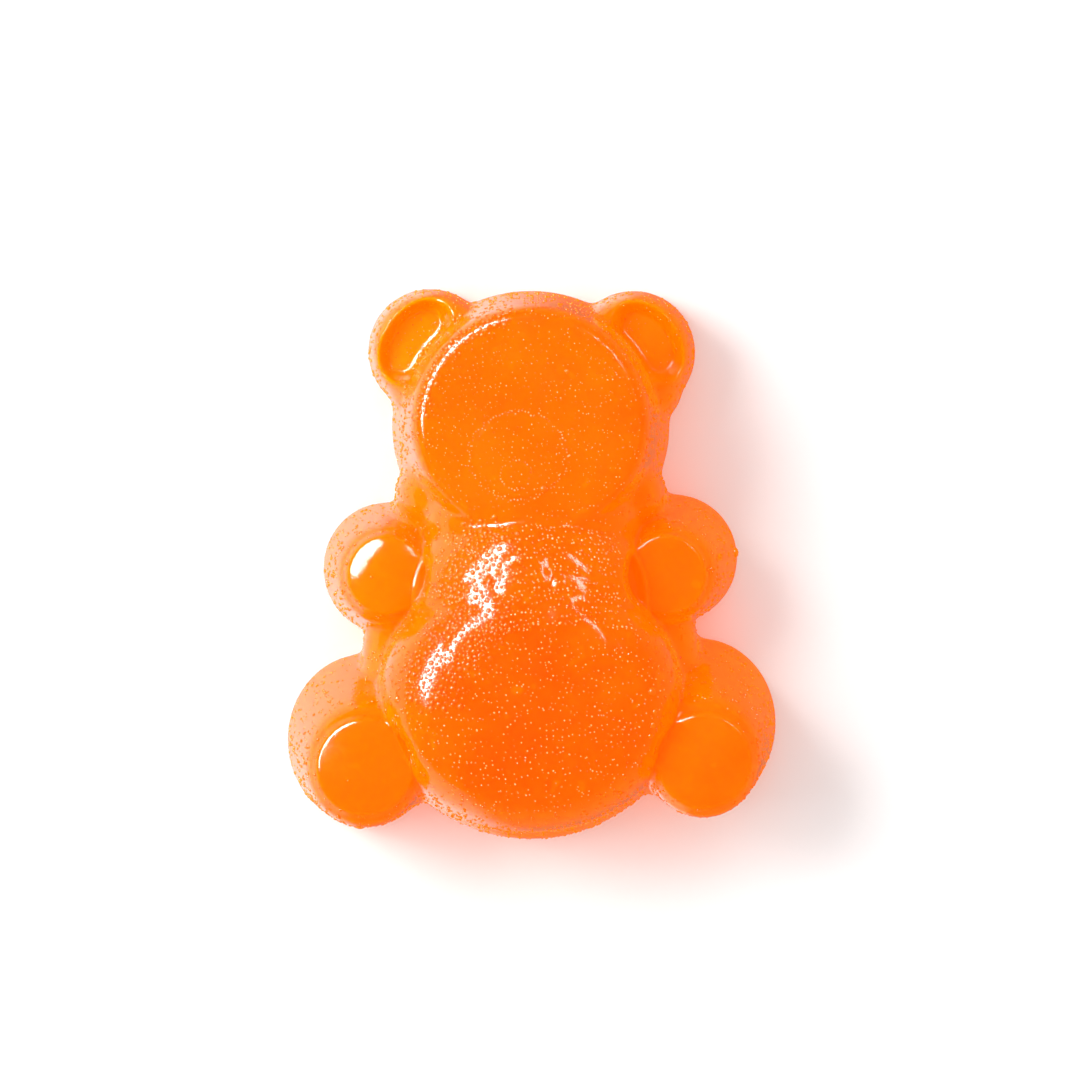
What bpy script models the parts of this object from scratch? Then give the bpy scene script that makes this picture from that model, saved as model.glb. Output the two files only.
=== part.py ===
"""A gummy bear: one solid sweet, cast in an open mould and lying on its flat back.

Metres, +Z up. The origin is the middle of the back, on the surface that the sweet lies
on. +Y runs up the bear to its head and +X to the right of a bear seen from the front,
so that its face, belly, paws and feet point to +Z.
"""

import math
from collections import namedtuple

import bmesh
import bpy
import numpy as np
from mathutils import Matrix, Vector

# Driving dimensions.
HEIGHT = 0.0300  # from the bottom of the belly to the top of the head
THICKNESS = 0.0125  # from the back to the top of the belly

# A place or a radius in plan is given in thirtieths of the height, and a level above the
# back in shares of 1/12.5 of the thickness, so that both are millimetres at this size.
PLAN = HEIGHT / 30
LEVEL = THICKNESS / 12.5

# The form of a mass is |ring|^n + |level|^n = 1, with n its squareness: 2 is a plain dome
# and 8 a flat-topped disc. Draft is the share by which its wall has drawn in at its top,
# and lean is how far its top has moved over from its foot.
Mass = namedtuple("Mass", "name centre radii top squareness draft lean")

MASSES = (
    Mass("trunk", (-0.1, -5.5), (9.2, 9.5), 6.2, 5.0, 0.0, (0.0, 0.0)),
    Mass("belly", (-0.1, -7.2), (8.7, 7.7), 11.75, 7.0, 0.10, (0.0, 0.0)),
    Mass("chest", (-0.1, -1.9), (7.1, 6.1), 11.6, 3.2, 0.0, (0.0, 0.0)),
    Mass("head", (-0.1, 7.5), (7.6, 7.4), 10.4, 24.0, 0.17, (0.0, 0.1)),
    Mass("throat", (-0.1, 2.3), (6.2, 4.4), 10.2, 3.4, 0.0, (0.0, 0.0)),
    Mass("left_shoulder", (-5.2, 3.7), (2.3, 2.3), 7.0, 3.0, 0.0, (0.0, 0.0)),
    Mass("right_shoulder", (5.2, 3.7), (2.1, 2.2), 7.0, 3.0, 0.0, (0.0, 0.0)),
    Mass("left_arm", (-7.95, -0.25), (3.5, 3.6), 7.2, 12.0, 0.28, (0.1, -0.4)),
    Mass("left_upper_arm", (-5.4, 0.6), (3.4, 3.2), 6.0, 2.6, 0.0, (0.0, 0.0)),
    Mass("right_arm", (7.7, 0.3), (3.5, 3.5), 7.2, 12.0, 0.28, (-0.4, -0.9)),
    Mass("right_upper_arm", (5.2, 0.8), (3.4, 3.2), 6.0, 2.6, 0.0, (0.0, 0.0)),
    Mass("left_leg", (-9.1, -9.6), (4.3, 4.7), 9.2, 14.0, 0.30, (0.1, -1.3)),
    Mass("left_thigh", (-6.8, -9.3), (3.8, 3.8), 6.2, 2.6, 0.0, (0.0, 0.0)),
    Mass("right_leg", (9.1, -8.7), (4.2, 4.65), 9.2, 14.0, 0.30, (0.1, -1.8)),
    Mass("right_thigh", (6.8, -8.8), (3.8, 3.8), 6.2, 2.6, 0.0, (0.0, 0.0)),
    Mass("left_ear", (-5.6, 11.6), (3.4, 3.4), 5.4, 8.0, 0.14, (0.0, 0.0)),
    Mass("right_ear", (5.5, 11.5), (3.4, 3.4), 5.4, 8.0, 0.14, (0.0, 0.0)),
    Mass("left_ear_root", (-6.2, 9.9), (1.8, 2.0), 4.8, 4.0, 0.10, (0.0, 0.0)),
    Mass("right_ear_root", (6.2, 9.6), (2.0, 2.0), 4.8, 4.0, 0.10, (0.0, 0.0)),
)

# Low relief on the side that was in the mould: how far each oval stands proud of the form
# under it, how wide its sloping edge is, how many degrees it is turned anticlockwise, and
# how much it is domed on top.
Relief = namedtuple("Relief", "name centre radii proud edge turn crown", defaults=(0, 0))

RELIEFS = (
    Relief("face", (-0.2, 7.7), (6.1, 6.0), 0.0, 1.0, 0, 0.06),
    Relief("muzzle", (-0.7, 5.8), (2.6, 2.35), 0.07, 0.28),
    Relief("nose", (-0.8, 4.75), (0.85, 0.80), 0.05, 0.25),
    Relief("left_eye", (-2.6, 10.5), (0.6, 0.6), 0.06, 0.30),
    Relief("right_eye", (1.8, 10.4), (0.6, 0.6), 0.06, 0.30),
    Relief("ear_joint_bump", (-4.5, 11.9), (0.6, 0.35), 0.22, 0.35, 30),
    Relief("belly_dome", (-0.1, -7.0), (7.3, 6.8), 0.0, 1.0, 0, 0.7),
    Relief("bow_knot", (-0.5, -0.7), (1.7, 1.8), 0.16, 0.80),
    Relief("left_knot_bump", (-2.3, -0.95), (0.3, 0.45), 0.12, 0.28, -15),
    Relief("right_knot_bump", (1.35, -1.07), (0.33, 0.6), 0.16, 0.30, -15),
    Relief("left_bow_loop", (-3.1, -4.0), (2.5, 1.5), 0.10, 0.70, 55),
    Relief("right_bow_loop", (2.6, -3.7), (2.5, 1.6), 0.10, 0.70, -50),
)

# Round pads that level whatever they cross: the level of the rim, how wide its edge is and
# how much the pad is domed.
Pad = namedtuple("Pad", "name centre radius level edge crown")

PADS = (
    Pad("left_paw", (-7.85, -0.6), 2.4, 7.5, 0.35, 0.6),
    Pad("right_paw", (7.2, -0.6), 2.35, 7.5, 0.30, 0.08),
    Pad("left_foot", (-9.0, -10.9), 2.85, 9.35, 0.35, 0.45),
    Pad("right_foot", (9.2, -10.6), 2.8, 9.35, 0.35, 0.15),
)

# Hollows sunk into the ears, which leave a rim round the outside. They stop at the head.
EAR_HOLLOWS = (
    Relief("left_ear_hollow", (-6.35, 12.05), (1.7, 2.7), -1.7, 0.55, -36),
    Relief("right_ear_hollow", (6.25, 12.0), (1.65, 2.6), -1.5, 0.55, 36),
)
EAR_TOP = 6.6  # the level below which a place belongs to the ears
LOWEST_RELIEF = 2.0  # the level below which the sides carry no relief
STEEPEST_RELIEF = 0.5  # a normal's upward part at which the relief has its full height

RINGS = 32  # from pole to pole of a mass
SEGMENTS = 64  # round a mass
FOOT_DEPTH = 0.001  # how far a mass reaches below the back before that is cut flat
VOXEL = 0.0002
FILLET_STEPS = 22
TRIANGLES = 10500  # in the finished solid, about
BLOCK = (4 * HEIGHT, 4 * HEIGHT, 2 * HEIGHT)  # what cuts the back flat

ORANGE = (1.0, 0.19, 0.0, 1.0)


def clear_scene():
    for obj in list(bpy.data.objects):
        bpy.data.objects.remove(obj, do_unlink=True)


def new_collection(name):
    collection = bpy.data.collections.new(name)
    bpy.context.scene.collection.children.link(collection)
    return collection


def new_object(name, mesh, collection):
    """An object from a bmesh, which is freed."""
    data = bpy.data.meshes.new(name)
    mesh.to_mesh(data)
    mesh.free()
    obj = bpy.data.objects.new(name, data)
    collection.objects.link(obj)
    return obj


def as_helper(obj):
    obj.hide_render = True
    obj.display_type = "WIRE"
    return obj


def baked_mesh(obj):
    """The mesh that the object's modifiers make."""
    graph = bpy.context.evaluated_depsgraph_get()
    return bpy.data.meshes.new_from_object(obj.evaluated_get(graph))


def add_mass(mesh, mass):
    """Adds a closed superquadric to a bmesh."""
    power = 2 / mass.squareness
    made = bmesh.ops.create_uvsphere(
        mesh, u_segments=SEGMENTS, v_segments=RINGS, radius=1
    )
    for vertex in made["verts"]:
        x, y, z = vertex.co
        ring = max(math.hypot(x, y), 1e-9)
        share = math.copysign(abs(z) ** power, z)
        rise = max(share, 0)
        spread = ring ** (power - 1) * (1 - mass.draft * rise)
        vertex.co = (
            PLAN * (mass.centre[0] + mass.radii[0] * x * spread + mass.lean[0] * rise),
            PLAN * (mass.centre[1] + mass.radii[1] * y * spread + mass.lean[1] * rise),
            (mass.top * LEVEL if share > 0 else FOOT_DEPTH) * share,
        )


def build_masses(helpers):
    """Torso, head, ears and limbs run into each other with soft fillets."""
    mesh = bmesh.new()
    for mass in MASSES:
        add_mass(mesh, mass)
    bmesh.ops.recalc_face_normals(mesh, faces=mesh.faces)
    masses = as_helper(new_object("masses", mesh, helpers))
    remesh = masses.modifiers.new("join", "REMESH")
    remesh.mode = "VOXEL"
    remesh.voxel_size = VOXEL
    fillets = masses.modifiers.new("fillets", "SMOOTH")
    fillets.factor = 0.5
    fillets.iterations = FILLET_STEPS
    return masses


def add_boolean(obj, name, operation, other):
    boolean = obj.modifiers.new(name, "BOOLEAN")
    boolean.operation = operation
    boolean.solver = "EXACT"
    boolean.object = other


def soft_step(share):
    """0 to 1, level at both ends, for shares from 0 to 1."""
    share = np.clip(share, 0, 1)
    return share * share * (3 - 2 * share)


def relief_height(reliefs, x, y):
    """How far the reliefs stand above the masses at places in plan, in metres."""
    height = np.zeros_like(x)
    for relief in reliefs:
        turn = math.radians(relief.turn)
        east = x / PLAN - relief.centre[0]
        north = y / PLAN - relief.centre[1]
        across = (east * math.cos(turn) + north * math.sin(turn)) / relief.radii[0]
        along = (north * math.cos(turn) - east * math.sin(turn)) / relief.radii[1]
        away = np.hypot(across, along)
        edge_share = (1 - away) * min(relief.radii) / relief.edge
        dome = relief.crown * np.maximum(1 - away**2, 0)
        height += (relief.proud * soft_step(edge_share) + dome) * LEVEL
    return height


def raise_relief(mesh):
    """Moves the mesh's moulded side up or down by the reliefs, the pads and the hollows."""
    points = np.array([vertex.co for vertex in mesh.vertices])
    x, y, z = points.T
    facing_up = np.array([vertex.normal.z for vertex in mesh.vertices])
    lift = relief_height(RELIEFS, x, y)
    lift += np.where(z < EAR_TOP * LEVEL, relief_height(EAR_HOLLOWS, x, y), 0)
    for pad in PADS:
        away = np.hypot(x / PLAN - pad.centre[0], y / PLAN - pad.centre[1]) / pad.radius
        level = (pad.level + pad.crown * (1 - away**2)) * LEVEL
        lift += (level - z - lift) * soft_step((1 - away) * pad.radius / pad.edge)
    lift *= soft_step(facing_up / STEEPEST_RELIEF)
    points[:, 2] += np.where(z > LOWEST_RELIEF * LEVEL, lift, 0)
    mesh.vertices.foreach_set("co", points.astype(np.float32).ravel())


def below_back(helpers):
    """A block whose top is the plane of the back."""
    block = bmesh.new()
    bmesh.ops.create_cube(block, size=1)
    bmesh.ops.scale(block, vec=Vector(BLOCK), verts=block.verts)
    bmesh.ops.translate(block, vec=Vector((0, 0, -BLOCK[2] / 2)), verts=block.verts)
    return as_helper(new_object("below_back", block, helpers))


def centre_in_plan(obj):
    """Moves the mesh so that the finished solid's box is centred on the origin."""
    points = np.array([vertex.co for vertex in baked_mesh(obj).vertices])
    middle = (points.min(axis=0) + points.max(axis=0)) / 2
    obj.data.transform(Matrix.Translation((-middle[0], -middle[1], 0)))


def gummy_material():
    material = bpy.data.materials.new("orange_gummy")
    material.use_nodes = True
    shader = material.node_tree.nodes["Principled BSDF"]
    shader.inputs["Base Color"].default_value = ORANGE
    shader.inputs["Roughness"].default_value = 0.15
    shader.inputs["Metallic"].default_value = 0.0
    return material


def build_bear(parts, helpers):
    mesh = baked_mesh(build_masses(helpers))
    raise_relief(mesh)
    bear = bpy.data.objects.new("gummy_bear", mesh)
    parts.objects.link(bear)
    lighten = bear.modifiers.new("lighten", "DECIMATE")
    lighten.ratio = TRIANGLES / (2 * len(mesh.polygons))
    add_boolean(bear, "flat_back", "DIFFERENCE", below_back(helpers))
    centre_in_plan(bear)
    mesh.materials.clear()
    mesh.materials.append(gummy_material())
    mesh.shade_smooth()


def main():
    clear_scene()
    parts = new_collection("gummy_bear")
    helpers = new_collection("helpers")
    build_bear(parts, helpers)


main()
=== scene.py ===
"""The looks of a gummy bear: its fine skin, droplets and translucent gum, lit as in a studio.

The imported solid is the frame. The skin stands for it, built from the same masses at a finer
grain, and everything else sits on the skin. Metres, +Z up, the bear on its back.
"""

import math
from collections import namedtuple

import bmesh
import bpy
import numpy as np
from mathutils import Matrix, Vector
from mathutils.bvhtree import BVHTree


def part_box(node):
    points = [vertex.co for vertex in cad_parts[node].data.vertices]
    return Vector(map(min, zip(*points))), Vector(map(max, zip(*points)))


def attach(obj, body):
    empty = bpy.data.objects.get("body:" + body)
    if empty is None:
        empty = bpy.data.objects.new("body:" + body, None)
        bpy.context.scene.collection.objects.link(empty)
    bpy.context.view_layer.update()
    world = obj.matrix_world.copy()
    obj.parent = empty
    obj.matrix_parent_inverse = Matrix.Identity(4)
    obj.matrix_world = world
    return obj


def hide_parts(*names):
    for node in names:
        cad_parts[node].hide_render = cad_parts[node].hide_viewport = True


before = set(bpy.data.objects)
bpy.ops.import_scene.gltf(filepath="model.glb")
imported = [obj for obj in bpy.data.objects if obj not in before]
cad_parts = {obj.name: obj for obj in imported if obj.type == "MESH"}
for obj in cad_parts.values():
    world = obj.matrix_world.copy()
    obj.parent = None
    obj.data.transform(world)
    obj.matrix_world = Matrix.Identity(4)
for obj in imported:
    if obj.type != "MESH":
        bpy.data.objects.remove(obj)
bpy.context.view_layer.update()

# ---------------------------------------------------------------- the frame's measures
BEAR_LOW, BEAR_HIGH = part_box("gummy_bear")
PLAN_UNITS = 30.01  # the frame's length along Y in the units of the tables below
LEVEL_UNITS = 12.48  # and its thickness
PLAN = (BEAR_HIGH.y - BEAR_LOW.y) / PLAN_UNITS
LEVEL = (BEAR_HIGH.z - BEAR_LOW.z) / LEVEL_UNITS
MM = 0.001

# ---------------------------------------------------------------- the bear's masses
# The form of a mass is |ring|^n + |level|^n = 1, with n its squareness. Draft is how much
# its wall has drawn in at its top, and lean how far its top has moved over from its foot.
Mass = namedtuple("Mass", "name centre radii top squareness draft lean")

MASSES = (
    Mass("trunk", (-0.1, -5.5), (9.2, 9.5), 6.2, 5.0, 0.0, (0.0, 0.0)),
    Mass("belly", (-0.1, -7.2), (8.7, 7.7), 11.75, 7.0, 0.10, (0.0, 0.0)),
    Mass("chest", (-0.1, -1.9), (7.1, 6.1), 11.6, 3.2, 0.0, (0.0, 0.0)),
    Mass("head", (-0.1, 7.5), (7.6, 7.4), 10.4, 24.0, 0.17, (0.0, 0.1)),
    Mass("throat", (-0.1, 2.3), (6.2, 4.4), 10.2, 3.4, 0.0, (0.0, 0.0)),
    Mass("left_shoulder", (-5.2, 3.7), (2.3, 2.3), 7.0, 3.0, 0.0, (0.0, 0.0)),
    Mass("right_shoulder", (5.2, 3.7), (2.1, 2.2), 7.0, 3.0, 0.0, (0.0, 0.0)),
    Mass("left_arm", (-7.95, -0.25), (3.5, 3.6), 7.2, 12.0, 0.28, (0.1, -0.4)),
    Mass("left_upper_arm", (-5.4, 0.6), (3.4, 3.2), 6.0, 2.6, 0.0, (0.0, 0.0)),
    Mass("right_arm", (7.7, 0.3), (3.5, 3.5), 7.2, 12.0, 0.28, (-0.4, -0.9)),
    Mass("right_upper_arm", (5.2, 0.8), (3.4, 3.2), 6.0, 2.6, 0.0, (0.0, 0.0)),
    Mass("left_leg", (-9.1, -9.6), (4.3, 4.7), 9.2, 14.0, 0.30, (0.1, -1.3)),
    Mass("left_thigh", (-6.8, -9.3), (3.8, 3.8), 6.2, 2.6, 0.0, (0.0, 0.0)),
    Mass("right_leg", (9.1, -8.7), (4.2, 4.65), 9.2, 14.0, 0.30, (0.1, -1.8)),
    Mass("right_thigh", (6.8, -8.8), (3.8, 3.8), 6.2, 2.6, 0.0, (0.0, 0.0)),
    Mass("left_ear", (-5.6, 11.6), (3.4, 3.4), 5.4, 8.0, 0.14, (0.0, 0.0)),
    Mass("right_ear", (5.5, 11.5), (3.4, 3.4), 5.4, 8.0, 0.14, (0.0, 0.0)),
    Mass("left_ear_root", (-6.2, 9.9), (1.8, 2.0), 4.8, 4.0, 0.10, (0.0, 0.0)),
    Mass("right_ear_root", (6.2, 9.6), (2.0, 2.0), 4.8, 4.0, 0.10, (0.0, 0.0)),
)

# Low relief: how far each oval stands proud of the form under it, how wide its sloping
# edge is, how many degrees it is turned anticlockwise, and how much it is domed on top.
Relief = namedtuple("Relief", "name centre radii proud edge turn crown", defaults=(0, 0))

RELIEFS = (
    Relief("face", (-0.2, 7.7), (6.1, 6.0), 0.0, 1.0, 0, 0.06),
    Relief("muzzle", (-0.7, 5.8), (2.6, 2.35), 0.07, 0.28),
    Relief("nose", (-0.8, 4.75), (0.85, 0.80), 0.05, 0.25),
    Relief("left_eye", (-2.6, 10.5), (0.6, 0.6), 0.06, 0.30),
    Relief("right_eye", (1.8, 10.4), (0.6, 0.6), 0.06, 0.30),
    Relief("ear_joint_bump", (-4.5, 11.9), (0.6, 0.35), 0.22, 0.35, 30),
    Relief("belly_dome", (-0.1, -7.0), (7.3, 6.8), 0.0, 1.0, 0, 0.7),
    Relief("bow_knot", (-0.5, -0.7), (1.7, 1.8), 0.16, 0.80),
    Relief("left_knot_bump", (-2.3, -0.95), (0.3, 0.45), 0.12, 0.28, -15),
    Relief("right_knot_bump", (1.35, -1.07), (0.33, 0.6), 0.16, 0.30, -15),
    Relief("left_bow_loop", (-3.1, -4.0), (2.5, 1.5), 0.10, 0.70, 55),
    Relief("right_bow_loop", (2.6, -3.7), (2.5, 1.6), 0.10, 0.70, -50),
)
# Round pads that level whatever they cross: the level of the rim, how wide its edge is and
# how much the pad is domed.
Pad = namedtuple("Pad", "name centre radius level edge crown")

PADS = (
    Pad("left_paw", (-7.85, -0.6), 2.4, 7.5, 0.35, 0.6),
    Pad("right_paw", (7.2, -0.6), 2.35, 7.5, 0.30, 0.08),
    Pad("left_foot", (-9.0, -10.9), 2.85, 9.35, 0.35, 0.45),
    Pad("right_foot", (9.2, -10.6), 2.8, 9.35, 0.35, 0.15),
)
# Hollows sunk into the ears, which leave a rim round the outside. They stop at the head.
EAR_HOLLOWS = (
    Relief("left_ear_hollow", (-6.35, 12.05), (1.7, 2.7), -1.7, 0.55, -36),
    Relief("right_ear_hollow", (6.25, 12.0), (1.65, 2.6), -1.5, 0.55, 36),
)
EAR_TOP = 6.6  # the level below which a place belongs to the ears

# ---------------------------------------------------------------- the skin's grain
RINGS = 48
SEGMENTS = 96
FOOT_DEPTH = 1.0 * MM  # how far the masses reach below the back before it is cut flat
VOXEL = 0.145 * MM  # keeps the skin under 200,000 triangles
FILLET_REACH = 0.65 * MM  # how far the smoothing of the fillets spreads
LOWEST_RELIEF = 2.0  # no relief reaches below this level
STEEPEST_RELIEF = 0.5  # a normal's upward part from which on the relief stands in full


# ---------------------------------------------------------------- small helpers
def soft_step(share):
    """0 to 1, level at both ends, for shares from 0 to 1."""
    share = np.clip(share, 0, 1)
    return share * share * (3 - 2 * share)


def points_of(mesh):
    points = np.empty(len(mesh.vertices) * 3, np.float32)
    mesh.vertices.foreach_get("co", points)
    return points.reshape(-1, 3).astype(float)


def normals_of(mesh):
    normals = np.empty(len(mesh.vertices) * 3, np.float32)
    mesh.vertices.foreach_get("normal", normals)
    return normals.reshape(-1, 3).astype(float)


def set_points(mesh, points):
    mesh.vertices.foreach_set("co", points.astype(np.float32).ravel())
    mesh.update()


def new_object(name, mesh):
    obj = bpy.data.objects.new(name, mesh)
    bpy.context.scene.collection.objects.link(obj)
    return obj


def mesh_from(bm, name):
    mesh = bpy.data.meshes.new(name)
    bm.to_mesh(mesh)
    bm.free()
    return mesh


def baked_mesh(obj):
    """The mesh that an object's modifiers make. The object itself is removed."""
    graph = bpy.context.evaluated_depsgraph_get()
    mesh = bpy.data.meshes.new_from_object(obj.evaluated_get(graph))
    bpy.data.objects.remove(obj)
    return mesh


# ---------------------------------------------------------------- the skin
def mass_points(mass, unit_sphere):
    """A superquadric's points from a unit sphere's."""
    x, y, z = unit_sphere.T
    power = 2 / mass.squareness
    ring = np.maximum(np.hypot(x, y), 1e-9)
    share = np.sign(z) * np.abs(z) ** power
    rise = np.maximum(share, 0)
    spread = ring ** (power - 1) * (1 - mass.draft * rise)
    level = np.where(share > 0, mass.top * LEVEL, FOOT_DEPTH) * share
    return np.column_stack(
        (
            PLAN * (mass.centre[0] + mass.radii[0] * x * spread + mass.lean[0] * rise),
            PLAN * (mass.centre[1] + mass.radii[1] * y * spread + mass.lean[1] * rise),
            level,
        )
    )


def mass_mesh(name, masses):
    sphere = bmesh.new()
    bmesh.ops.create_uvsphere(sphere, u_segments=SEGMENTS, v_segments=RINGS, radius=1)
    shape = mesh_from(sphere, "mass")
    unit_sphere = points_of(shape)
    bm = bmesh.new()
    for mass in masses:
        set_points(shape, mass_points(mass, unit_sphere))
        bm.from_mesh(shape)
    bmesh.ops.recalc_face_normals(bm, faces=bm.faces)
    return mesh_from(bm, name)


def blended_masses(voxel):
    """All the masses as one closed surface, running into each other with soft fillets."""
    blended = new_object("blended", mass_mesh("blended", MASSES))
    remesh = blended.modifiers.new("join", "REMESH")
    remesh.mode = "VOXEL"
    remesh.voxel_size = voxel
    fillets = blended.modifiers.new("fillets", "SMOOTH")
    fillets.factor = 0.5
    fillets.iterations = round((FILLET_REACH / voxel) ** 2 * 2)
    return baked_mesh(blended)


def off_centre(relief, x, y):
    """How far places in plan lie from a relief's centre: 0 there and 1 on its rim."""
    turn = math.radians(relief.turn)
    east = x / PLAN - relief.centre[0]
    north = y / PLAN - relief.centre[1]
    across = (east * math.cos(turn) + north * math.sin(turn)) / relief.radii[0]
    along = (north * math.cos(turn) - east * math.sin(turn)) / relief.radii[1]
    return np.hypot(across, along)


def relief_height(reliefs, x, y):
    """How far the reliefs stand above the masses at places in plan, in metres."""
    height = np.zeros_like(x)
    for relief in reliefs:
        away = off_centre(relief, x, y)
        edge_share = (1 - away) * min(relief.radii) / relief.edge
        dome = relief.crown * np.maximum(1 - away**2, 0)
        height += (relief.proud * soft_step(edge_share) + dome) * LEVEL
    return height


def raise_relief(mesh):
    """Moves the moulded side up and down by the relief."""
    points = points_of(mesh)
    x, y, z = points.T
    facing_up = soft_step(normals_of(mesh)[:, 2] / STEEPEST_RELIEF)
    lift = relief_height(RELIEFS, x, y)
    lift += np.where(z < EAR_TOP * LEVEL, relief_height(EAR_HOLLOWS, x, y), 0)
    for pad in PADS:
        away = np.hypot(x / PLAN - pad.centre[0], y / PLAN - pad.centre[1]) / pad.radius
        level = (pad.level + pad.crown * (1 - away**2)) * LEVEL
        lift += (level - z - lift) * soft_step((1 - away) * pad.radius / pad.edge)
    points[:, 2] += np.where(z > LOWEST_RELIEF * PLAN, lift * facing_up, 0)
    set_points(mesh, points)


def cut_back_flat(mesh):
    """Cuts the mesh at the plane that the bear lies on and closes it with one flat face."""
    bm = bmesh.new()
    bm.from_mesh(mesh)
    bmesh.ops.bisect_plane(
        bm,
        geom=bm.verts[:] + bm.edges[:] + bm.faces[:],
        plane_co=(0, 0, 0),
        plane_no=(0, 0, -1),
        clear_outer=True,
    )
    rim = [edge for edge in bm.edges if edge.is_boundary]
    bmesh.ops.contextual_create(bm, geom=rim)
    bmesh.ops.recalc_face_normals(bm, faces=bm.faces)
    for edge in rim:
        edge.smooth = False
    bm.to_mesh(mesh)
    bm.free()


def centre_in_plan(mesh):
    """Shifts the mesh so that its box is centred where the frame's is."""
    points = points_of(mesh)
    middle = (points.min(axis=0) + points.max(axis=0)) / 2
    aim = (BEAR_LOW + BEAR_HIGH) / 2
    points[:, 0] += aim.x - middle[0]
    points[:, 1] += aim.y - middle[1]
    set_points(mesh, points)


def build_skin():
    mesh = blended_masses(VOXEL)
    raise_relief(mesh)
    cut_back_flat(mesh)
    centre_in_plan(mesh)
    mesh.shade_smooth()
    mesh.materials.clear()
    skin = new_object("bear_skin", mesh)
    skin.data.name = "bear_skin"
    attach(skin, "root")
    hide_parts("gummy_bear")
    return skin


# ---------------------------------------------------------------- the beads on the skin
# Tiny beads stand all over the skin. A field fills a rectangle with wavy rows of them: its
# low and high corners and the rows' pitch are in the units of the tables above, keep is the
# share of places that hold a bead, and radii are the smallest and largest bead in mm.
Field = namedtuple("Field", "low high pitch keep radii")

FIELDS = (
    Field((-6.3, -3.4), (6.3, 2.2), 0.25, 0.80, (0.045, 0.085)),
    Field((-7.6, -13.4), (7.6, -3.4), 0.29, 0.60, (0.035, 0.065)),
    Field((-6.0, 2.2), (6.0, 13.6), 0.27, 0.55, (0.025, 0.05)),
    Field((-12.5, -9.0), (-7.0, -5.2), 0.42, 0.6, (0.05, 0.08)),
    Field((7.0, -8.4), (12.8, -4.6), 0.36, 0.7, (0.05, 0.08)),
    Field((-8.4, 9.2), (-4.2, 13.8), 0.34, 0.6, (0.03, 0.05)),
    Field((4.2, 9.2), (8.4, 13.8), 0.40, 0.5, (0.03, 0.05)),
)
BARE_SHARE = 1.08  # how far past a pad's rim no bead stands
FLATTEST_WALL = 0.72  # a normal's upward part at the flattest place that has wall beads
STEEPEST_TOP = 0.52  # and at the steepest that has a top's
WALL_BEADS = 3600
WALL_RADII = (0.05, 0.12)
FAT_BEADS = 560
FAT_RADII = (0.08, 0.17)
# Where the fat beads crowd: down the left of the chest, the belly's left shoulder and the
# head's upper left edge. Each is a centre and how far the beads spread from it.
FAT_CENTRES = (
    ((-2.4, 0.6), 0.65),
    ((-3.1, -0.8), 0.65),
    ((-3.0, -3.2), 0.6),
    ((-4.4, -4.6), 0.6),
    ((-5.6, -6.2), 0.6),
    ((-1.9, 13.4), 0.3),
    ((-3.1, 12.9), 0.3),
    ((-4.2, 12.2), 0.3),
    ((-5.2, 11.2), 0.3),
    ((-5.9, 10.0), 0.3),
    ((-6.3, 8.6), 0.3),
)
EDGE_PITCH = 0.16  # between beads along the edges of the muzzle and the nose
EDGE_KEEP = 0.8
EDGE_RADII = (0.04, 0.065)
# Places and radii in mm of the few large drops.
DROPS = (
    (-7.2, -7.2, 0.24),
    (6.45, -6.8, 0.26),
    (6.5, -8.6, 0.20),
    (6.35, -9.2, 0.18),
    (6.6, -7.9, 0.16),
    (4.5, -4.6, 0.12),
    (1.9, 10.3, 0.14),
    (0.65, 4.0, 0.20),
    (-5.0, 2.0, 0.13),
    (-6.9, 9.2, 0.12),
    (-3.4, -4.9, 0.10),
    (-8.6, -0.7, 0.09),
    (-9.8, -11.6, 0.10),
)
# Nubs on the walls: a place, the way it points in degrees from +X, and a radius in mm.
NUBS = (
    ((11.05, 0.6, 3.2), 5, 0.30),
    ((-9.4, -14.2, 1.4), 260, 0.42),
    ((-8.7, -14.0, 1.2), 275, 0.30),
)
BEAD_HEIGHT = 0.62  # a bead's height as a share of its radius
LOWEST_TOP_BEAD = 1.0 * MM  # above the back
LOWEST_WALL_BEAD = 0.4 * MM
SEED = 7


def bead_template(sides, levels):
    """Points and triangles of a closed dome: rings at these angles above its widest ring."""
    turns = np.arange(sides) * math.tau / sides
    points = []
    for level in levels:
        across, up = math.cos(level), math.sin(level)
        points += [(across * math.cos(t), across * math.sin(t), up) for t in turns]
    top, bottom = len(points), len(points) + 1
    points += [(0, 0, 1), (0, 0, math.sin(levels[0]))]
    faces = []
    last = (len(levels) - 1) * sides
    for i in range(sides):
        j = (i + 1) % sides
        for ring in range(0, last, sides):
            low, high = ring + i, ring + sides + j
            faces += [(low, ring + j, high), (low, high, ring + sides + i)]
        faces += [(last + i, last + j, top), (j, i, bottom)]
    return np.array(points), np.array(faces)


def bead_mesh(name, template, places, normals, radii):
    """One mesh of a bead at each place, standing on the surface there."""
    points, faces = template
    side = np.cross(normals, (0.31, 0.83, 0.47))
    side /= np.linalg.norm(side, axis=1, keepdims=True)
    other = np.cross(normals, side)
    axes = np.stack((side, other, normals * BEAD_HEIGHT), axis=1)
    placed = places[:, None, :] + radii[:, None, None] * np.einsum("tk,nkc->ntc", points, axes)
    index = faces[None] + (np.arange(len(places)) * len(points))[:, None, None]
    mesh = bpy.data.meshes.new(name)
    mesh.from_pydata(placed.reshape(-1, 3), [], index.reshape(-1, 3))
    mesh.shade_smooth()
    return mesh


def is_bare(x, y):
    """Whether a place in plan lies on one of the smooth pads."""
    return any(
        math.dist((x / PLAN, y / PLAN), pad.centre) < BARE_SHARE * pad.radius for pad in PADS
    )


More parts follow.
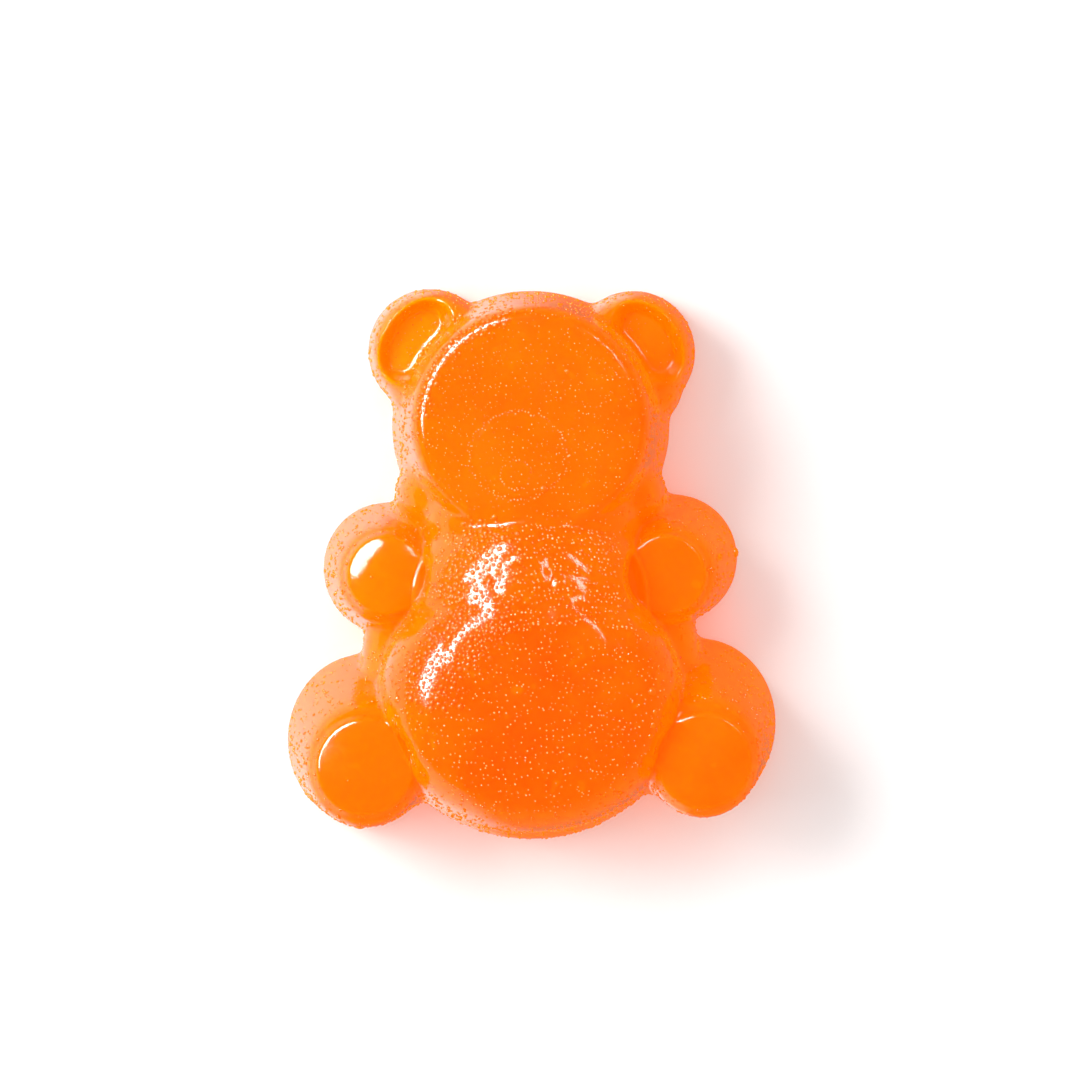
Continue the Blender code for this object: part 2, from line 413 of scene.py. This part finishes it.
def straight_down(tree, x, y):
    """The place on the skin seen from above at x, y, and the normal there."""
    return tree.ray_cast(Vector((x, y, 2 * BEAR_HIGH.z)), Vector((0, 0, -1)))[:2]


def dropped(tree, x, y):
    """Where a bead dropped at x, y comes to lie, and the normal there, if it is a top."""
    place, normal = straight_down(tree, x, y)
    if place is None or place.z < LOWEST_TOP_BEAD:
        return None
    if normal.z < STEEPEST_TOP or is_bare(x, y):
        return None
    return place, normal


def field_beads(tree, dice):
    """Wavy rows of tiny beads over each field."""
    found = []
    for field in FIELDS:
        rows = int((field.high[1] - field.low[1]) / field.pitch)
        columns = int((field.high[0] - field.low[0]) / field.pitch)
        for row in range(rows):
            shift, drift = dice.uniform(0, 1), dice.uniform(-0.3, 0.3)
            for column in range(columns):
                along = field.low[0] + (column + shift + dice.normal(0, 0.18)) * field.pitch
                wave = 0.8 * math.sin(0.7 * along + 0.05 * row) + 0.3 * math.sin(2.3 * along + row)
                up = field.low[1] + (row + wave + drift + dice.normal(0, 0.18)) * field.pitch
                kept, size = dice.uniform(), dice.uniform() ** 1.3
                if kept > field.keep:
                    continue
                bead = dropped(tree, along * PLAN, up * PLAN)
                if bead:
                    small, large = field.radii
                    found.append((*bead, (small + (large - small) * size) * MM))
    return found


def edge_beads(tree, dice):
    """Beads strung along the edges of the muzzle and the nose, with gaps."""
    found = []
    for relief in RELIEFS:
        if relief.name in ("muzzle", "nose"):
            for turn in np.arange(0, math.tau, EDGE_PITCH / min(relief.radii)):
                if dice.uniform() < EDGE_KEEP:
                    away = 1 + dice.normal(0, 0.03)
                    x = relief.centre[0] + relief.radii[0] * math.cos(turn) * away
                    y = relief.centre[1] + relief.radii[1] * math.sin(turn) * away
                    radius = dice.uniform(*EDGE_RADII) * MM
                    found.append((*straight_down(tree, x * PLAN, y * PLAN), radius))
    return found


def drops(tree):
    """The few large drops."""
    return [(*straight_down(tree, x * PLAN, y * PLAN), radius * MM) for x, y, radius in DROPS]


def nubs():
    """The few nubs that stand out from the walls."""
    found = []
    for (x, y, z), way, radius in NUBS:
        turn = math.radians(way)
        normal = Vector((math.cos(turn), math.sin(turn), 0))
        found.append((Vector((x * PLAN, y * PLAN, z * LEVEL)), normal, radius * MM))
    return found


def fat_beads(tree, dice):
    """Larger beads crowded in a few hollows."""
    found = []
    while len(found) < FAT_BEADS:
        centre, spread = FAT_CENTRES[dice.integers(len(FAT_CENTRES))]
        x, y = dice.normal(centre, spread)
        radius = dice.uniform(*FAT_RADII) * MM
        bead = dropped(tree, x * PLAN, y * PLAN)
        if bead and all((bead[0] - other[0]).length > radius + other[2] for other in found):
            found.append((*bead, radius))
    return found


def wall_beads(mesh, dice):
    """Beads scattered over the steep sides, evenly by area."""
    walls = [
        face for face in mesh.polygons
        if abs(face.normal.z) < FLATTEST_WALL and face.center.z > LOWEST_WALL_BEAD
    ]
    areas = np.array([face.area for face in walls])
    chosen = dice.choice(len(walls), WALL_BEADS, p=areas / areas.sum())
    small, large = WALL_RADII
    found = []
    for i in chosen:
        radius = (small + (large - small) * dice.uniform() ** 2) * MM
        found.append((walls[i].center.copy(), walls[i].normal.copy(), radius))
    return found


def add_beads(name, template, beads, material):
    """One piece of beads. Each bead is a place, a normal and a radius."""
    places, normals, radii = (np.array(column, float) for column in zip(*beads))
    piece = new_object(name, bead_mesh(name, template, places, normals, radii))
    piece.data.materials.append(material)
    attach(piece, "root")


def build_beads(skin):
    tree = BVHTree.FromObject(skin, bpy.context.evaluated_depsgraph_get())
    dice = np.random.default_rng(SEED)
    # The pale droplets carry a painted glint; the gum-coloured beads carry the gum's painted light
    # and painted glow.
    pale, gum = glint_painted_bead_material(), gum_bead_material()
    tiny = bead_template(6, (math.radians(-15), math.radians(40)))
    round_bead = bead_template(10, (math.radians(-15), math.radians(25), math.radians(58)))
    add_beads("tiny_beads", tiny, field_beads(tree, dice), pale)
    add_beads("wall_beads", tiny, wall_beads(skin.data, dice), gum)
    add_beads("edge_beads", tiny, edge_beads(tree, dice), pale)
    large = fat_beads(tree, dice) + drops(tree) + nubs()
    add_beads("fat_beads", round_bead, large, gum)


# ---------------------------------------------------------------- materials
def new_material(name):
    material = bpy.data.materials.new(name)
    material.use_nodes = True
    nodes = material.node_tree.nodes
    links = material.node_tree.links
    return material, nodes, links, nodes["Principled BSDF"]


# The gum is redder where more of it lies below, and yellow where it is thin: painted light that
# stands in for light coming through thin gum, and it is raised at the ear hollows' floor as a
# painted lift against their shade. The pairs are shares of the full depth and the green there.
GUM_AND_PAINTED_LIGHT_BY_DEPTH = (
    (0.0, 0.26),
    (0.31, 0.28),
    (0.42, 0.16),
    (0.60, 0.17),
    (0.75, 0.132),
    (0.84, 0.122),
    (0.93, 0.090),
    (1.0, 0.078),
)
# Painted light: the steep walls are painted a yellower colour of their own than the tops, by how
# they face.
WALL_PAINTED_LIGHT_COLOUR = (1.0, 0.15, 0.0, 1)
FLATTEST_GUM_WALL, STEEPEST_GUM_TOP = 0.8, 0.3  # a normal's upward part
# Painted shade: the tops are painted a little redder on the side away from the light, more so from
# here to there.
PAINTED_SHADE_COLOUR = (1.0, 0.088, 0.0, 1)
PAINTED_SHADE_FROM, PAINTED_SHADE_TO = -4 * MM, 8 * MM
PAINTED_SHADE_SHARE = 0.65
SPECK_COLOUR = (1.0, 0.22, 0.0, 1)
CLOUD_PERIOD, SPECK_PERIOD = 5 * MM, 0.8 * MM
CLOUD_SHARE = 0.35  # how much of the specks' colour a cloud or a speck has at most
# Painted glow: an emission at the foot of the walls stands in for light that has come through the
# gum and leaves it there.
PAINTED_GLOW = (1.0, 0.17, 0.0)
PAINTED_GLOW_AT_FOOT = 0.55
PAINTED_GLOW_STOPS = ((0.0, 1.0), (0.7, 0.6), (1.0, 0.35))
GUM_SHINE = (0.04, 0.12)  # the smallest and largest roughness
BUMP_PERIOD, BUMP_DEPTH = 0.25 * MM, 0.008 * MM
# Painted glint: the droplets' colour runs from about the gum's to a paler one that stands in for
# the light they gather.
GLINT_PAINTED_BEAD, PALEST_GLINT_PAINTED_BEAD = (1.0, 0.15, 0.003, 1), (1.0, 0.50, 0.12, 1)
BEAD_ROUGHNESS = 0.12


def depth_ramp(nodes, links, stops):
    """Colours by how much of the full depth lies below. A stop is a share and a colour."""
    place = nodes.new("ShaderNodeNewGeometry")
    split = nodes.new("ShaderNodeSeparateXYZ")
    links.new(place.outputs["Position"], split.inputs["Vector"])
    depth = nodes.new("ShaderNodeMapRange")
    depth.inputs["From Max"].default_value = BEAR_HIGH.z
    links.new(split.outputs["Z"], depth.inputs["Value"])
    ramp = nodes.new("ShaderNodeValToRGB")
    while len(ramp.color_ramp.elements) < len(stops):
        ramp.color_ramp.elements.new(1.0)
    for element, (share, colour) in zip(ramp.color_ramp.elements, stops):
        element.position = share
        element.color = colour
    links.new(depth.outputs["Result"], ramp.inputs["Fac"])
    return ramp.outputs["Color"]


def add_noise(nodes, links, period, detail):
    """Noise over the piece, with its main period in metres."""
    place = nodes.new("ShaderNodeTexCoord")
    noise = nodes.new("ShaderNodeTexNoise")
    noise.inputs["Scale"].default_value = 1 / period
    noise.inputs["Detail"].default_value = detail
    links.new(place.outputs["Object"], noise.inputs["Vector"])
    return noise.outputs["Fac"]


def mapped(nodes, links, value, low, high, to_low, to_high):
    spread = nodes.new("ShaderNodeMapRange")
    for socket, number in zip(list(spread.inputs)[1:5], (low, high, to_low, to_high)):
        socket.default_value = number
    links.new(value, spread.inputs["Value"])
    return spread.outputs["Result"]


def gum_colour_and_painted_light(nodes, links):
    """The gum's colour by depth, painted yellow where thin for light through the gum, with painted
    shade on the tops away from the light, the walls' painted colour by how they face, soft clouds
    and a few pale specks deep in the gum.
    """
    tops = depth_ramp(nodes, links, [(at, (1.0, green, 0.0, 1)) for at, green in GUM_AND_PAINTED_LIGHT_BY_DEPTH])
    place = nodes.new("ShaderNodeNewGeometry")
    sideways = nodes.new("ShaderNodeSeparateXYZ")
    links.new(place.outputs["Position"], sideways.inputs["Vector"])
    painted_shade = mapped(
        nodes, links, sideways.outputs["X"], PAINTED_SHADE_FROM, PAINTED_SHADE_TO, 0, PAINTED_SHADE_SHARE
    )
    shaded = nodes.new("ShaderNodeMix")
    shaded.data_type = "RGBA"
    links.new(painted_shade, shaded.inputs["Factor"])
    links.new(tops, shaded.inputs["A"])
    shaded.inputs["B"].default_value = PAINTED_SHADE_COLOUR
    facing = nodes.new("ShaderNodeNewGeometry")
    split = nodes.new("ShaderNodeSeparateXYZ")
    links.new(facing.outputs["Normal"], split.inputs["Vector"])
    walls = nodes.new("ShaderNodeMix")
    walls.data_type = "RGBA"
    upward = mapped(
        nodes, links, split.outputs["Z"], STEEPEST_GUM_TOP, FLATTEST_GUM_WALL, 0, 1
    )
    links.new(upward, walls.inputs["Factor"])
    walls.inputs["A"].default_value = WALL_PAINTED_LIGHT_COLOUR
    links.new(shaded.outputs["Result"], walls.inputs["B"])
    colour = walls.outputs["Result"]
    soft = add_noise(nodes, links, CLOUD_PERIOD, 3)
    fine = add_noise(nodes, links, SPECK_PERIOD, 0)
    clouds = mapped(nodes, links, soft, 0.35, 0.65, 0, CLOUD_SHARE)
    specks = mapped(nodes, links, fine, 0.74, 0.84, 0, CLOUD_SHARE)
    for factor in (clouds, specks):
        mix = nodes.new("ShaderNodeMix")
        mix.data_type = "RGBA"
        links.new(factor, mix.inputs["Factor"])
        links.new(colour, mix.inputs["A"])
        mix.inputs["B"].default_value = SPECK_COLOUR
        colour = mix.outputs["Result"]
    return colour


def add_bump(nodes, links, shader):
    bump = nodes.new("ShaderNodeBump")
    bump.inputs["Distance"].default_value = BUMP_DEPTH
    links.new(add_noise(nodes, links, BUMP_PERIOD, 2), bump.inputs["Height"])
    links.new(bump.outputs["Normal"], shader.inputs["Normal"])


def add_painted_glow(nodes, links, shader):
    """Painted glow: an emission for light come through the gum, strongest where the gum is lowest.
    """
    stops = [(at, (*(part * share for part in PAINTED_GLOW), 1)) for at, share in PAINTED_GLOW_STOPS]
    links.new(depth_ramp(nodes, links, stops), shader.inputs["Emission Color"])
    shader.inputs["Emission Strength"].default_value = PAINTED_GLOW_AT_FOOT


def gum_material():
    material, nodes, links, shader = new_material("orange_gum")
    links.new(gum_colour_and_painted_light(nodes, links), shader.inputs["Base Color"])
    add_painted_glow(nodes, links, shader)
    patches = add_noise(nodes, links, 1.5 * MM, 2)
    shine = mapped(nodes, links, patches, 0.3, 0.7, *GUM_SHINE)
    links.new(shine, shader.inputs["Roughness"])
    add_bump(nodes, links, shader)
    shader.inputs["IOR"].default_value = 1.45
    shader.inputs["Subsurface Weight"].default_value = 1.0
    shader.inputs["Subsurface Radius"].default_value = (2.5, 1.0, 0.25)
    shader.inputs["Subsurface Scale"].default_value = 1.0 * MM
    return material


def gum_bead_material():
    """Beads of the gum's colour with its painted light and painted glow, as on the walls."""
    material, nodes, links, shader = new_material("orange_beads")
    links.new(gum_colour_and_painted_light(nodes, links), shader.inputs["Base Color"])
    add_painted_glow(nodes, links, shader)
    shader.inputs["Roughness"].default_value = BEAD_ROUGHNESS
    shader.inputs["IOR"].default_value = 1.5
    return material


def glint_painted_bead_material():
    """Droplets on the tops, painted paler than the gum: a painted glint for the light they gather.
    """
    material, nodes, links, shader = new_material("glint_painted_beads")
    tint = add_noise(nodes, links, 0.4 * MM, 1)
    mix = nodes.new("ShaderNodeMix")
    mix.data_type = "RGBA"
    links.new(mapped(nodes, links, tint, 0.35, 0.65, 0.0, 1.0), mix.inputs["Factor"])
    mix.inputs["A"].default_value = GLINT_PAINTED_BEAD
    mix.inputs["B"].default_value = PALEST_GLINT_PAINTED_BEAD
    links.new(mix.outputs["Result"], shader.inputs["Base Color"])
    shader.inputs["Roughness"].default_value = BEAD_ROUGHNESS
    shader.inputs["IOR"].default_value = 1.6
    return material


def floor_material():
    material, _, _, shader = new_material("pale_floor")
    shader.inputs["Base Color"].default_value = FLOOR_COLOUR
    shader.inputs["Roughness"].default_value = 0.9
    shader.inputs["Specular IOR Level"].default_value = 0.0
    return material


# ---------------------------------------------------------------- the studio
# How bright the soft light from all round is, and what the gum mirrors: above the horizon,
# and below it to the left and to the right.
AMBIENT = 0.86
MIRRORED_ABOVE = 0.06
MIRRORED_LEFT = 0.85
MIRRORED_RIGHT = 0.11
HORIZON_BLUR = 0.02
LEFTWARDS = (-1.0, 0.1, -0.35)
LEFT_FROM, LEFT_TO = 0.30, 0.46  # how far along that way the mirror image turns pale
FLOOR_COLOUR = (0.9, 0.9, 0.9, 1)
FLOOR_HALF = 1.5
FLOOR_GAP = 0.02 * MM  # between the floor and the bear's back
LIGHT_DISTANCE = 0.5
LENS, SENSOR = 300.0, 36.0
VIEW_WIDTH = 59.0  # in the units of the tables above, as is its middle
VIEW_MIDDLE = (0.46, 1.28)


def build_floor():
    bm = bmesh.new()
    bmesh.ops.create_grid(bm, x_segments=1, y_segments=1, size=FLOOR_HALF)
    floor = new_object("floor", mesh_from(bm, "floor"))
    floor.location.z = -FLOOR_GAP
    floor.data.materials.append(floor_material())
    floor.visible_glossy = False


def build_world():
    """Soft light from all round. Its mirror image is another one: dark above the horizon, so
    that flat tops keep their colour, and below it pale to the left and dim to the right."""
    world = bpy.data.worlds.new("studio")
    bpy.context.scene.world = world
    world.use_nodes = True
    nodes, links = world.node_tree.nodes, world.node_tree.links

    def blended(factor, low, high):
        mix = nodes.new("ShaderNodeMix")
        mix.data_type = "RGBA"
        links.new(factor, mix.inputs["Factor"])
        for socket, value in zip((mix.inputs["A"], mix.inputs["B"]), (low, high)):
            if isinstance(value, float):
                socket.default_value = (value, value, value, 1)
            else:
                links.new(value, socket)
        return mix.outputs["Result"]

    coordinates = nodes.new("ShaderNodeTexCoord")
    split = nodes.new("ShaderNodeSeparateXYZ")
    links.new(coordinates.outputs["Generated"], split.inputs["Vector"])
    below = nodes.new("ShaderNodeMapRange")
    below.inputs["From Min"].default_value = HORIZON_BLUR
    below.inputs["From Max"].default_value = -HORIZON_BLUR
    links.new(split.outputs["Z"], below.inputs["Value"])
    towards_left = nodes.new("ShaderNodeVectorMath")
    towards_left.operation = "DOT_PRODUCT"
    towards_left.inputs[1].default_value = LEFTWARDS
    links.new(coordinates.outputs["Generated"], towards_left.inputs[0])
    left = nodes.new("ShaderNodeMapRange")
    left.interpolation_type = "SMOOTHSTEP"
    left.inputs["From Min"].default_value = LEFT_FROM
    left.inputs["From Max"].default_value = LEFT_TO
    links.new(towards_left.outputs["Value"], left.inputs["Value"])
    path = nodes.new("ShaderNodeLightPath")
    mirrored = blended(
        below.outputs["Result"],
        MIRRORED_ABOVE,
        blended(left.outputs["Result"], MIRRORED_RIGHT, MIRRORED_LEFT),
    )
    lit = blended(path.outputs["Is Glossy Ray"], AMBIENT, mirrored)
    seen = blended(path.outputs["Is Camera Ray"], lit, 1.0)
    links.new(seen, nodes["Background"].inputs["Color"])


def add_softbox(name, azimuth, elevation, spread, radiance, mirrored):
    """An area light aimed at the bear, seen either only as a mirror image or only by what
    it lights. Azimuth is anticlockwise from +X. Spread is its width and height as the bear
    sees them. All three are in degrees."""
    light = bpy.data.lights.new(name, "AREA")
    light.shape = "RECTANGLE"
    light.size, light.size_y = (
        2 * LIGHT_DISTANCE * math.tan(math.radians(angle / 2)) for angle in spread
    )
    light.energy = radiance * math.pi * light.size * light.size_y
    lamp = bpy.data.objects.new(name, light)
    lamp.visible_glossy = mirrored
    lamp.visible_diffuse = not mirrored
    bpy.context.scene.collection.objects.link(lamp)
    turn, rise = math.radians(azimuth), math.radians(elevation)
    way = Vector(
        (math.cos(turn) * math.cos(rise), math.sin(turn) * math.cos(rise), math.sin(rise))
    )
    lamp.location = way * LIGHT_DISTANCE
    lamp.rotation_mode = "QUATERNION"
    lamp.rotation_quaternion = way.to_track_quat("Z", "Y")


def build_lights():
    add_softbox("key", 156, 50, (18, 18), 10, mirrored=False)
    add_softbox("soft_key", 164, 42, (44, 38), 3.0, mirrored=False)
    add_softbox("left_window", 143, 50, (52, 20), 32, mirrored=True)
    add_softbox("right_strip", 46, 48, (16, 5), 14, mirrored=True)


def build_camera():
    """Straight above, with a long lens."""
    camera = bpy.data.cameras.new("camera")
    camera.lens = LENS
    camera.sensor_width = SENSOR
    obj = bpy.data.objects.new("camera", camera)
    bpy.context.scene.collection.objects.link(obj)
    east, north = VIEW_MIDDLE
    obj.location = (east * PLAN, north * PLAN, VIEW_WIDTH * PLAN * LENS / SENSOR)
    camera.clip_start = 0.01
    camera.clip_end = 10
    bpy.context.scene.camera = obj


build_camera()
build_floor()
build_world()
build_lights()
skin = build_skin()
skin.data.materials.append(gum_material())
build_beads(skin)
bpy.context.scene.view_settings.view_transform = "Standard"
bpy.context.scene.view_settings.look = "None"
